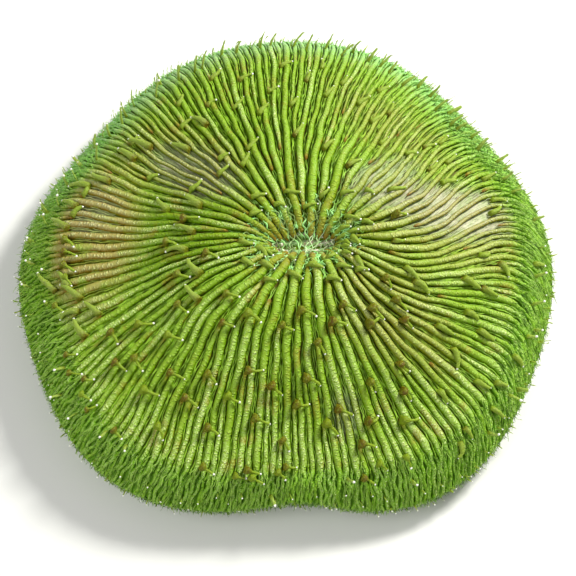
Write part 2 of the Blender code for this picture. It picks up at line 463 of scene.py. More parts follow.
@dataclass
class Rails:
    """Open lines in space that flesh is swept along, with a value of each kind at every point."""

    points: list[Array] = field(default_factory=list)
    values: dict[str, list[Array]] = field(default_factory=dict)
    lift: list[Array] = field(default_factory=list)

    def add(self, points: Array, lift: Array, **values: Array | float) -> None:
        """Adds one line.

        Args:
            points: Its points, in order.
            lift: At each point, the direction that the flesh's crest faces.
            **values: At each point or for the whole line, the attributes it carries.
        """
        self.points.append(points)
        self.lift.append(lift)
        for name, value in values.items():
            self.values.setdefault(name, []).append(np.broadcast_to(np.asarray(value, float), len(points)))

    def to_object(self, name: str) -> Object:
        """Makes an object whose mesh holds the lines as edges.

        Args:
            name: The object's name.

        Returns:
            The object.
        """
        mesh = bpy.data.meshes.new(name)
        counts = [len(line) for line in self.points]
        edges = [
            np.stack([np.arange(first, first + n - 1), np.arange(first + 1, first + n)], axis=1)
            for first, n in zip(np.cumsum([0, *counts[:-1]]), counts)
        ]
        mesh.from_pydata(np.concatenate(self.points).tolist(), np.concatenate(edges).tolist(), [])
        for key, rows in (*self.values.items(), ("lift_axis", self.lift)):
            store(mesh, key, np.concatenate(rows))
        return link(name, mesh)


@dataclass
class Spots:
    """Points that beads or spikes stand on: their places, the way they point and their sizes."""

    points: list[Array] = field(default_factory=list)
    aim: list[Array] = field(default_factory=list)
    size: list[tuple[float, float, float]] = field(default_factory=list)

    def add(self, point: Array, aim: Array, width: float, height: float) -> None:
        """Adds one spot, with half its width and its height."""
        for row, value in ((self.points, point), (self.aim, aim), (self.size, (width, width, height))):
            row.append(value)


class NodeTree:
    """A thin hand over a node tree, for geometry and for materials alike."""

    def __init__(self, tree: bpy.types.NodeTree) -> None:
        """Takes the tree that nodes are added to."""
        self.tree = tree

    def node(self, kind: str, settings: dict[str, object] | None = None, **inputs: object) -> bpy.types.Node:
        """Adds one node.

        Args:
            kind: The node's type name.
            settings: Properties of the node itself.
            **inputs: Sockets by name, with spaces as underscores: a value, or a socket to
                link from. A name that starts with at_ and a number is a socket by its place.

        Returns:
            The node.
        """
        node = self.tree.nodes.new(kind)
        for name, value in (settings or {}).items():
            setattr(node, name, value)
        for name, value in inputs.items():
            if name.startswith("at_"):
                socket = node.inputs[int(name[3:])]
            else:
                socket = next(s for s in node.inputs if s.name == name.replace("_", " ") and s.enabled)
            if isinstance(value, Socket):
                self.tree.links.new(value, socket)
            else:
                socket.default_value = value
        return node

    def math(self, operation: str, first: object, second: object = 0.0, third: object = 0.0) -> Socket:
        """Returns the result of a new Math node."""
        inputs = {"at_0": first, "at_1": second, "at_2": third}
        return self.node("ShaderNodeMath", {"operation": operation}, **inputs).outputs[0]

    def times(self, first: object, second: object) -> Socket:
        """Returns the product of two numbers."""
        return self.math("MULTIPLY", first, second)

    def most(self, first: object, second: object) -> Socket:
        """Returns the larger of two numbers."""
        return self.math("MAXIMUM", first, second)


class GeometryTree(NodeTree):
    """A geometry tree with named inputs, which runs on an object and leaves a plain mesh."""

    inputs: tuple[tuple[str, str], ...] = ()

    def __init__(self, name: str) -> None:
        """Makes the tree, with its input and output sockets.

        Args:
            name: Its name.
        """
        super().__init__(bpy.data.node_groups.new(name, "GeometryNodeTree"))
        for way, label, kind in (
            ("OUTPUT", "Geometry", "Geometry"),
            ("INPUT", "Geometry", "Geometry"),
            *(("INPUT", label, kind) for label, kind in self.inputs),
            ("INPUT", "Material", "Material"),
        ):
            self.tree.interface.new_socket(label, in_out=way, socket_type="NodeSocket" + kind)
        self.given = self.node("NodeGroupInput").outputs

    def read(self, name: str, kind: str) -> Socket:
        """Returns an attribute of the geometry, of this kind of data."""
        return self.node("GeometryNodeInputNamedAttribute", {"data_type": kind}, Name=name).outputs[0]

    def keep(self, source: bpy.types.Node, name: str, value: Socket) -> bpy.types.Node:
        """Stores a number on the points of a geometry under this name, and returns the node."""
        settings, values = {"data_type": "FLOAT", "domain": "POINT"}, {"Name": name, "Value": value}
        return self.node("GeometryNodeStoreNamedAttribute", settings, Geometry=source.outputs[0], **values)

    def end(self, source: bpy.types.Node) -> None:
        """Ends the tree with real geometry, shaded smooth, with its material.

        Args:
            source: The last node before.
        """
        whole = self.node("GeometryNodeRealizeInstances", Geometry=source.outputs[0])
        smooth = self.node("GeometryNodeSetShadeSmooth", Geometry=whole.outputs[0], Shade_Smooth=True)
        material = self.given["Material"]
        dressed = self.node("GeometryNodeSetMaterial", Geometry=smooth.outputs[0], Material=material)
        self.tree.links.new(dressed.outputs[0], self.node("NodeGroupOutput").inputs[0])

    def run(self, source: Object, name: str, material: Material, values: tuple[object, ...]) -> Object:
        """Runs the tree on an object and keeps the result as a plain mesh.

        Args:
            source: The object to run it on, which is removed afterwards.
            name: The new object's name.
            material: The material of the result.
            values: The tree's inputs, in order.

        Returns:
            The new object, at the origin.
        """
        modifier = source.modifiers.new(self.tree.name, "NODES")
        modifier.node_group = self.tree
        given = dict(zip((label for label, _ in self.inputs), values)) | {"Material": material}
        for item in self.tree.interface.items_tree:
            if item.in_out == "INPUT" and item.name in given:
                modifier[item.identifier] = given[item.name]
        graph = bpy.context.evaluated_depsgraph_get()
        evaluated = source.evaluated_get(graph)
        mesh = bpy.data.meshes.new_from_object(evaluated, preserve_all_data_layers=True, depsgraph=graph)
        mesh.name = name
        source.modifiers.remove(modifier)
        bpy.data.objects.remove(source)
        return wrap(mesh, material)


@dataclass(frozen=True)
class Flesh:
    """Form of swept flesh: its sides, how deep its keel is, and the lumps on it."""

    sides: int
    keel: float
    lump_size: float
    lump_depth: float
    seed: int


class RopeSweep(GeometryTree):
    """The Geometry Nodes tree that sweeps soft, lumpy flesh along rails."""

    inputs = (
        ("Sides", "Int"),
        ("Keel", "Float"),
        ("Lump Size", "Float"),
        ("Lump Depth", "Float"),
        ("Seed", "Int"),
    )

    def __init__(self) -> None:
        """Builds the tree once. Every swept piece uses it with its own inputs."""
        super().__init__("rope_sweep")
        given = self.given
        rail = self.node("GeometryNodeMeshToCurve", Mesh=given["Geometry"])
        lift = self.read("lift_axis", "FLOAT_VECTOR")
        rail = self.node("GeometryNodeSetCurveNormal", {"mode": "FREE"}, Curve=rail.outputs[0], Normal=lift)
        rail = self.keep(rail, "along", self.node("GeometryNodeSplineParameter").outputs["Length"])
        circle = {"mode": "RADIUS"}
        profile = self.node("GeometryNodeCurvePrimitiveCircle", circle, Resolution=given["Sides"], Radius=1.0)
        place = self.node("GeometryNodeInputPosition").outputs[0]
        split = self.node("ShaderNodeSeparateXYZ", at_0=place)
        below = self.math("MINIMUM", split.outputs[0], 0.0)
        deeper = self.times(below, self.math("SUBTRACT", given["Keel"], 1.0))
        keel = self.node("ShaderNodeCombineXYZ", at_0=deeper)
        profile = self.keep(profile, "crest", split.outputs[0])
        profile = self.keep(profile, "flank", split.outputs[1])
        profile = self.node("GeometryNodeSetPosition", Geometry=profile.outputs[0], Offset=keel.outputs[0])
        mesh = self.node(
            "GeometryNodeCurveToMesh",
            Curve=rail.outputs[0],
            Profile_Curve=profile.outputs[0],
            Scale=self.read("half_width", "FLOAT"),
            Fill_Caps=True,
        )
        noise = self.node(
            "ShaderNodeTexNoise",
            {"noise_dimensions": "4D"},
            Vector=place,
            W=self.times(given["Seed"], 7.31),
            Scale=self.math("DIVIDE", 1.0, given["Lump Size"]),
            Detail=1.0,
        )
        swell = self.times(self.math("SUBTRACT", noise.outputs[0], 0.5), given["Lump Depth"])
        normal = self.node("GeometryNodeInputNormal").outputs[0]
        out = self.node("ShaderNodeVectorMath", {"operation": "SCALE"}, at_0=normal, Scale=swell)
        self.end(self.node("GeometryNodeSetPosition", Geometry=mesh.outputs[0], Offset=out.outputs[0]))

    def sweep(self, rails: Rails, name: str, material: Material, flesh: Flesh) -> Object:
        """Returns the object made by sweeping flesh along rails, which have a half_width at each point."""
        return self.run(rails.to_object(name + "_rails"), name, material, astuple(flesh))


class PointScatter(GeometryTree):
    """The Geometry Nodes tree that sets small beads or spikes on points."""

    inputs = (("Segments", "Int"), ("Spiky", "Bool"))

    def __init__(self) -> None:
        """Builds the tree once."""
        super().__init__("point_scatter")
        sides = self.given["Segments"]
        turned = self.node(
            "FunctionNodeAlignRotationToVector", {"axis": "Z"}, Vector=self.read("aim", "FLOAT_VECTOR")
        )
        ball = self.node("GeometryNodeMeshUVSphere", Segments=sides, Rings=6, Radius=1.0)
        spike = self.node(
            "GeometryNodeMeshCone", Vertices=sides, Radius_Top=0.0, Radius_Bottom=1.0, Depth=1.0
        )
        shape = self.node(
            "GeometryNodeSwitch",
            {"input_type": "GEOMETRY"},
            Switch=self.given["Spiky"],
            **{"False": ball.outputs[0], "True": spike.outputs[0]},
        )
        dots = self.node(
            "GeometryNodeInstanceOnPoints",
            Points=self.given["Geometry"],
            Instance=shape.outputs[0],
            Rotation=turned.outputs[0],
            Scale=self.read("size", "FLOAT_VECTOR"),
        )
        self.end(dots)

    def scatter(self, spots: Spots, name: str, material: Material, segments: int, spiky: bool) -> Object:
        """Sets one bead or spike on each spot.

        Args:
            spots: Where they are, which way they point, and their size.
            name: The new object's name.
            material: Its material.
            segments: Sides of each one.
            spiky: Whether they are spikes rather than beads.

        Returns:
            The finished object, at the origin.
        """
        mesh = bpy.data.meshes.new(name + "_points")
        mesh.from_pydata([list(p) for p in spots.points], [], [])
        for key, rows in (("aim", spots.aim), ("size", spots.size)):
            store(mesh, key, np.array(rows))
        return self.run(link(name + "_points", mesh), name, material, (segments, spiky))


def wrap(mesh: bpy.types.Mesh, material: Material) -> Object:
    """Turns a closed mesh outward, gives it its material and links it as an object.

    Args:
        mesh: The mesh, which also names the object.
        material: Its one material.

    Returns:
        The object, at the origin.
    """
    mesh.materials.clear()
    mesh.materials.append(material)
    shape = bmesh.new()
    shape.from_mesh(mesh)
    bmesh.ops.recalc_face_normals(shape, faces=shape.faces)
    shape.to_mesh(mesh)
    shape.free()
    mesh.shade_smooth()
    return link(mesh.name, mesh)


class Paint(NodeTree):
    """A material whose node tree is filled step by step."""

    def __init__(self, name: str) -> None:
        """Makes the material, with a Principled BSDF in it.

        Args:
            name: Its name.
        """
        self.material = bpy.data.materials.new(name)
        self.material.use_nodes = True
        super().__init__(self.material.node_tree)
        self.shader = self.tree.nodes["Principled BSDF"]
        self.place = self.node("ShaderNodeTexCoord").outputs["Object"]

    def value(self, name: str) -> Socket:
        """Returns an attribute of the mesh as a number."""
        return self.node("ShaderNodeAttribute", {"attribute_name": name}).outputs["Fac"]

    def noise(self, size: float, detail: float = 2.0, shift: float = 0.0) -> Socket:
        """Returns a noise on object coordinates, about 0.5, with the size of its features."""
        settings, inputs = {"noise_dimensions": "4D"}, {"W": shift, "Scale": 1 / size, "Detail": detail}
        return self.node("ShaderNodeTexNoise", settings, Vector=self.place, **inputs).outputs["Fac"]

    def ramp(self, value: Socket, low: object, high: float, top: float = 1.0) -> Socket:
        """Returns a smooth rise from 0 at low to top at high."""
        settings, ends = {"interpolation_type": "SMOOTHSTEP"}, {"at_2": high, "at_3": 0.0, "at_4": top}
        return self.node("ShaderNodeMapRange", settings, at_0=value, at_1=low, **ends).outputs[0]

    def mix(self, factor: object, first: object, second: object) -> Socket:
        """Mixes two colours.

        Args:
            factor: Share of the second.
            first: A colour, or a socket that gives one.
            second: A colour, or a socket that gives one.

        Returns:
            The mixed colour.
        """
        full = [(*value, 1.0) if isinstance(value, tuple) else value for value in (first, second)]
        node = self.node("ShaderNodeMix", {"data_type": "RGBA"}, at_0=factor, at_6=full[0], at_7=full[1])
        return node.outputs[2]

    def relief(self, height: Socket, distance: float) -> None:
        """Sets the shader's bump from a height, with its full depth in metres."""
        bump = self.node("ShaderNodeBump", Height=height, Distance=distance, Strength=1.0)
        self.tree.links.new(bump.outputs[0], self.shader.inputs["Normal"])

    def finish(
        self, colour: Socket, glow: tuple[float, Colour, float] | None = None, **constants: float
    ) -> Material:
        """Links the colour and sets the shader's own sockets.

        Args:
            colour: The base colour.
            glow: Weight, radius and scale of the light that scatters under the surface.
            **constants: Values of other sockets, with spaces as underscores.

        Returns:
            The finished material.
        """
        self.tree.links.new(colour, self.shader.inputs["Base Color"])
        if glow:
            constants |= dict(zip(("Subsurface_Weight", "Subsurface_Radius", "Subsurface_Scale"), glow))
        for name, value in constants.items():
            self.shader.inputs[name.replace("_", " ")].default_value = value
        return self.material


@dataclass(frozen=True)
class RidgeFinish:
    """Beaded flesh of a septum: pale crest with painted highlight, darker flanks with painted shade at their
    foot, brown at its inner end.
    """

    name: str = "septum_flesh"
    # Crest colour: the septum's paler tissue, lightened further as a painted highlight along the crest.
    crest: Colour = (0.32, 0.505, 0.055)
    olive: Colour = (0.30, 0.355, 0.022)
    # Darker olive of the septa on the left inner disc.
    dusk: Colour = (0.19, 0.285, 0.015)
    # Whitish frosting: pale mottling on some septa, which also serves as painted highlight on the crest.
    frost_and_highlight: Colour = (0.76, 0.90, 0.38)
    flank: Colour = (0.160, 0.310, 0.001)
    # Painted shade: the dark colour at the foot of each septum, where it meets the valley.
    deep: Colour = (0.105, 0.200, 0.001)
    brown: Colour = (0.25, 0.112, 0.008)
    tan: Colour = (0.58, 0.56, 0.24)
    cream: Colour = (0.53, 0.54, 0.33)
    skirt: Colour = (0.17, 0.44, 0.012)
    mint: Colour = (0.30, 0.66, 0.20)
    bead_pitch: float = 0.62 * MM
    bead_depth: float = 0.42 * MM

    def build(self) -> Material:
        """Builds the material.

        Returns:
            The finished material.
        """
        paint = Paint(self.name)
        crest, skirt, pale, tan = (paint.value(name) for name in ("crest", "skirt", "pale", "tan"))
        wavy = paint.times(paint.noise(1.3 * MM, 1.0, 1.5), 1.6)
        cells = paint.node(
            "ShaderNodeCombineXYZ",
            at_0=paint.math("ADD", paint.math("DIVIDE", paint.value("along"), self.bead_pitch), wavy),
            at_1=paint.times(paint.math("ARCTAN2", paint.value("flank"), crest), 0.75),
            at_2=paint.times(paint.value("strand"), 97.0),
        )
        beads = paint.node("ShaderNodeTexVoronoi", {"feature": "F1"}, Vector=cells.outputs[0], Scale=1.0)
        bead = paint.ramp(beads.outputs["Distance"], 0.62, 0.10)
        grain, cloud = paint.noise(0.35 * MM, 2.0, 1.0), paint.noise(8 * MM, 2.0, 2.0)
        patch = paint.noise(5 * MM, 2.5, 3.0)
        narrow = paint.most(pale, paint.times(tan, 0.6))
        # Painted highlight: the upper part of each septum takes the pale crest colour, as a band broken by the
        # beads.
        top = paint.ramp(crest, paint.math("MULTIPLY_ADD", narrow, 0.34, 0.22), 1.04)
        beads_and_highlight = paint.times(top, paint.math("MULTIPLY_ADD", bead, 0.58, 0.44))
        blotch = paint.times(paint.ramp(patch, 0.54, 0.68, 0.75), paint.math("SUBTRACT", 1.0, skirt))
        tanned = paint.times(tan, paint.ramp(patch, 0.18, 0.50))
        browned = paint.most(blotch, paint.most(tanned, pale))
        inner = paint.times(paint.value("inner"), paint.ramp(patch, 0.42, 0.58, 0.6))
        browned = paint.most(paint.times(browned, 0.8), inner)
        # Painted shade: the lower flank darkens towards the valley floor.
        colour = paint.mix(paint.ramp(crest, -0.6, 0.40), self.deep, paint.mix(browned, self.flank, self.brown))
        # Partly painted highlight: whitish frosting on the crest where the tone is high, broken by grain.
        frost_and_highlight_share = paint.times(paint.ramp(paint.value("tone"), 0.40, 0.95), paint.ramp(grain, 0.40, 0.60))
        crest_and_highlight_colour = paint.mix(paint.ramp(cloud, 0.40, 0.66, 0.45), self.crest, self.olive)
        for share, other in (
            (paint.value("dusk"), self.dusk),
            (frost_and_highlight_share, self.frost_and_highlight),
            (paint.times(tanned, 0.85), self.tan),
            (pale, self.cream),
            (paint.times(inner, 0.7), self.brown),
        ):
            crest_and_highlight_colour = paint.mix(share, crest_and_highlight_colour, other)
        for share, other in (
            (beads_and_highlight, crest_and_highlight_colour),
            (paint.times(skirt, paint.math("MULTIPLY_ADD", top, -0.36, 0.72)), self.skirt),
            (paint.times(paint.value("mint"), paint.ramp(crest, -0.4, 0.7, 0.8)), self.mint),
            (paint.ramp(paint.value("root"), 0.10, 0.9, 0.85), self.brown),
        ):
            colour = paint.mix(share, colour, other)
        paint.relief(paint.math("MULTIPLY_ADD", bead, 0.65, paint.times(grain, 0.6)), self.bead_depth)
        return paint.finish(colour, (0.08, (0.4, 1.0, 0.1), 0.0008), Roughness=0.38, Specular_IOR_Level=0.24)


@dataclass(frozen=True)
class SkinFinish:
    """Tissue in the valleys: olive green with brown, cream where it is stretched thin."""

    name: str = "valley_tissue"
    green: Colour = (0.125, 0.260, 0.001)
    bright: Colour = (0.22, 0.42, 0.004)
    brown: Colour = (0.110, 0.055, 0.004)
    cream: Colour = (0.66, 0.65, 0.47)
    skirt: Colour = (0.11, 0.28, 0.005)
    under: Colour = (0.33, 0.36, 0.22)
    streaks: tuple[float, float, float] = (21.0, 21.0, 5.0)

    def build(self) -> Material:
        """Builds the material.

        Returns:
            The finished material.
        """
        paint = Paint(self.name)
        patch, speckle = paint.noise(4 * MM, 3.0, 4.0), paint.noise(0.5 * MM, 2.0, 5.0)
        east, north, reach, skirt = (paint.value(name) for name in ("east", "north", "reach", "skirt"))
        place = paint.node("ShaderNodeCombineXYZ", at_0=east, at_1=north, at_2=reach).outputs[0]
        spoke = paint.node("ShaderNodeVectorMath", {"operation": "MULTIPLY"}, at_0=place, at_1=self.streaks)
        streak = paint.node("ShaderNodeTexNoise", Vector=spoke.outputs[0], Scale=1.0, Detail=2.0).outputs["Fac"]
        browned = paint.most(paint.ramp(patch, 0.52, 0.66, 0.75), paint.ramp(streak, 0.50, 0.60, 0.8))
        browned = paint.most(browned, paint.times(paint.value("tan"), paint.ramp(patch, 0.30, 0.50, 0.6)))
        thin = paint.math("MULTIPLY_ADD", paint.ramp(paint.noise(3 * MM, 2.0, 16.0), 0.36, 0.56), 0.5, 0.5)
        pale = paint.times(paint.value("pale"), paint.times(thin, paint.math("ADD", speckle, 0.5)))
        colour = paint.mix(paint.ramp(speckle, 0.4, 0.65), self.green, self.bright)
        for share, other in (
            (paint.times(browned, paint.math("SUBTRACT", 1.0, skirt)), self.brown),
            (paint.times(skirt, 0.8), self.skirt),
            (pale, self.cream),
            (paint.value("under"), self.under),
        ):
            colour = paint.mix(share, colour, other)
        paint.relief(speckle, 0.3 * MM)
        return paint.finish(colour, (0.1, (0.8, 1.0, 0.4), 0.001), Roughness=0.5, Specular_IOR_Level=0.25)


@dataclass(frozen=True)
class ThreadFinish:
    """Thin bright threads in the valleys, mint green beside the mouth."""

    name: str = "valley_threads"
    bright: Colour = (0.30, 0.53, 0.035)
    mint: Colour = (0.36, 0.80, 0.24)
    dull: Colour = (0.11, 0.21, 0.004)
    brown: Colour = (0.26, 0.24, 0.035)
    pale: Colour = (0.74, 0.74, 0.54)

    def build(self) -> Material:
        """Builds the material.

        Returns:
            The finished material.
        """
        paint = Paint(self.name)
        colour = paint.mix(paint.value("inner"), self.bright, self.mint)
        colour = paint.mix(paint.ramp(paint.noise(2.5 * MM, 2.0, 6.0), 0.38, 0.60), colour, self.dull)
        colour = paint.mix(paint.times(paint.value("tan"), 0.6), colour, self.brown)
        colour = paint.mix(paint.times(paint.value("pale"), 0.7), colour, self.pale)
        paint.relief(paint.noise(0.4 * MM, 2.0, 7.0), 0.12 * MM)
        return paint.finish(colour, (0.1, (0.3, 1.0, 0.2), 0.001), Roughness=0.4, Specular_IOR_Level=0.3)


@dataclass(frozen=True)
class TentacleFinish:
    """Olive, glassy flesh, brown at the root and lighter towards the tip."""

    name: str = "tentacle_flesh"
    root: Colour = (0.110, 0.068, 0.002)
    middle: Colour = (0.175, 0.260, 0.008)
    tip: Colour = (0.23, 0.33, 0.02)
    clear: Colour = (0.28, 0.38, 0.07)

    def build(self) -> Material:
        """Builds the material.

        Returns:
            The finished material.
        """
        paint = Paint(self.name)
        share, speckle = paint.value("out_share"), paint.noise(0.45 * MM, 2.0, 8.0)
        colour = paint.mix(paint.value("green_root"), self.root, self.middle)
        colour = paint.mix(paint.ramp(share, paint.value("turns_at"), 0.70), colour, self.middle)
        colour = paint.mix(paint.ramp(share, 0.50, 1.0), colour, self.tip)
        colour = paint.mix(paint.ramp(speckle, 0.45, 0.70, 0.65), colour, self.tip)
        clear = paint.times(paint.value("clear"), paint.ramp(share, 0.0, 0.5, 0.8))
        colour = paint.mix(clear, colour, self.clear)
        paint.relief(speckle, 0.35 * MM)
        return paint.finish(colour, (0.3, (0.8, 1.0, 0.2), 0.0012), Roughness=0.44, Specular_IOR_Level=0.22)


@dataclass(frozen=True)
class TipFinish:
    """The white, glossy knob at a tentacle's tip."""

    name: str = "tentacle_tip"
    white: Colour = (0.88, 0.88, 0.82)
    shade: Colour = (0.62, 0.66, 0.52)

    def build(self) -> Material:
        """Builds the material.

        Returns:
            The finished material.
        """
        paint = Paint(self.name)
        colour = paint.mix(paint.ramp(paint.noise(0.3 * MM, 1.0, 9.0), 0.45, 0.75, 0.5), self.white, self.shade)
        return paint.finish(colour, Roughness=0.16, Coat_Weight=0.5, Coat_Roughness=0.06)


@dataclass(frozen=True)
class LipFinish:
    """Pale flesh of the mouth: cream and faint pink, with mint-green folds."""

    name: str = "mouth_flesh"
    cream: Colour = (0.78, 0.74, 0.58)
    pink: Colour = (0.74, 0.48, 0.42)
    mint: Colour = (0.24, 0.46, 0.12)

    def build(self) -> Material:
        """Builds the material.

        Returns:
            The finished material.
        """
        paint = Paint(self.name)
        fold, patch = paint.noise(0.7 * MM, 2.0, 13.0), paint.noise(3.2 * MM, 1.0, 17.0)
        colour = paint.mix(paint.ramp(paint.noise(1.6 * MM, 2.0, 12.0), 0.5, 0.62), self.cream, self.pink)
        green = paint.most(paint.ramp(fold, 0.50, 0.62), paint.ramp(patch, 0.48, 0.58))
        colour = paint.mix(paint.times(green, 0.85), colour, self.mint)
        paint.relief(fold, 0.3 * MM)
        return paint.finish(colour, (0.2, (1.0, 0.8, 0.6), 0.001), Roughness=0.25)


@dataclass(frozen=True)
class FringeFinish:
    """Bright green papillae and threads of the wall, mint green on its far left, made lighter there as painted
    light on its shaded side.
    """

    name: str = "fringe_flesh"
    dark: Colour = (0.060, 0.155, 0.003)
    green: Colour = (0.15, 0.36, 0.008)
    light: Colour = (0.46, 0.70, 0.13)
    # Mint: the wall's own mint green, made lighter as painted light where the far-left wall is in shade.
    mint: Colour = (0.36, 0.78, 0.17)

    def build(self) -> Material:
        """Builds the material.

        Returns:
            The finished material.
        """
        paint = Paint(self.name)
        cloud, speckle = paint.noise(4 * MM, 2.0, 14.0), paint.noise(0.7 * MM, 1.0, 15.0)
        place = paint.node("ShaderNodeSeparateXYZ", at_0=paint.place)
        north_west = paint.math("MULTIPLY_ADD", place.outputs[0], -0.4, place.outputs[1])
        colour = paint.mix(paint.ramp(speckle, 0.42, 0.60), self.dark, self.green)
        light = paint.times(paint.ramp(speckle, 0.5, 0.7), paint.ramp(cloud, 0.35, 0.6))
        colour = paint.mix(light, colour, self.light)
        colour = paint.mix(paint.ramp(paint.value("tone"), 0.42, 1.0, 0.9), colour, self.light)
        # Partly painted light: the far-left wall turns a light mint, lifting its shade.
        colour = paint.mix(paint.ramp(north_west, 0.020, 0.060, 0.6), colour, self.mint)
        return paint.finish(colour, Roughness=0.45, Specular_IOR_Level=0.25)


@dataclass
class FleshDisc:
    """The skin under the septa: valleys, wall and underside in one closed sheet."""

    shape: DiscShape
    columns: int = 288
    top_rings: int = 64
    under_reaches: tuple[float, ...] = (1.03, 1.06, 1.10, 1.15, 1.20, 1.26, 1.34, 1.46, 1.62, 1.80, 1.96, 2.06)
    floor_gap: float = 0.45 * MM

    def build(self, material: Material) -> Object:
        """Makes the skin.

        Args:
            material: Its material.

        Returns:
            The skin object.
        """
        reaches = np.concatenate([np.linspace(0.0, 1.0, self.top_rings), self.under_reaches])
        turn, reach = np.meshgrid(np.arange(self.columns) * 2 * math.pi / self.columns, reaches)
        normal = self.shape.frame_at(turn, reach)[2]
        points = self.shape.surface(turn, reach) - VALLEY_DEPTH.at(reach)[..., None] * normal
        points[..., 2] = np.maximum(points[..., 2], self.floor_gap)
        rings, columns = turn.shape
        ring, column = np.meshgrid(np.arange(rings - 1), np.arange(columns), indexing="ij")
        here, beside = ring * columns + column, ring * columns + (column + 1) % columns
        quads = np.stack([here, here + columns, beside + columns, beside], axis=-1).reshape(-1, 4)
        caps = [list(range(columns)), list(range((rings - 1) * columns, rings * columns))]
        mesh = bpy.data.meshes.new("flesh_disc")
        mesh.from_pydata(points.reshape(-1, 3).tolist(), [], quads.tolist() + caps)
        for name, values in (
            ("pale", tissue(Tissue.PALE, points)),
            ("tan", tissue(Tissue.TAN, points)),
            ("skirt", self.shape.on_skirt(turn, reach)),
            ("under", smooth_step(1.20, 1.30, reach)),
            ("east", np.cos(turn)),
            ("north", np.sin(turn)),
            ("reach", reach),
        ):
            store(mesh, name, values.ravel())
        return wrap(mesh, material)


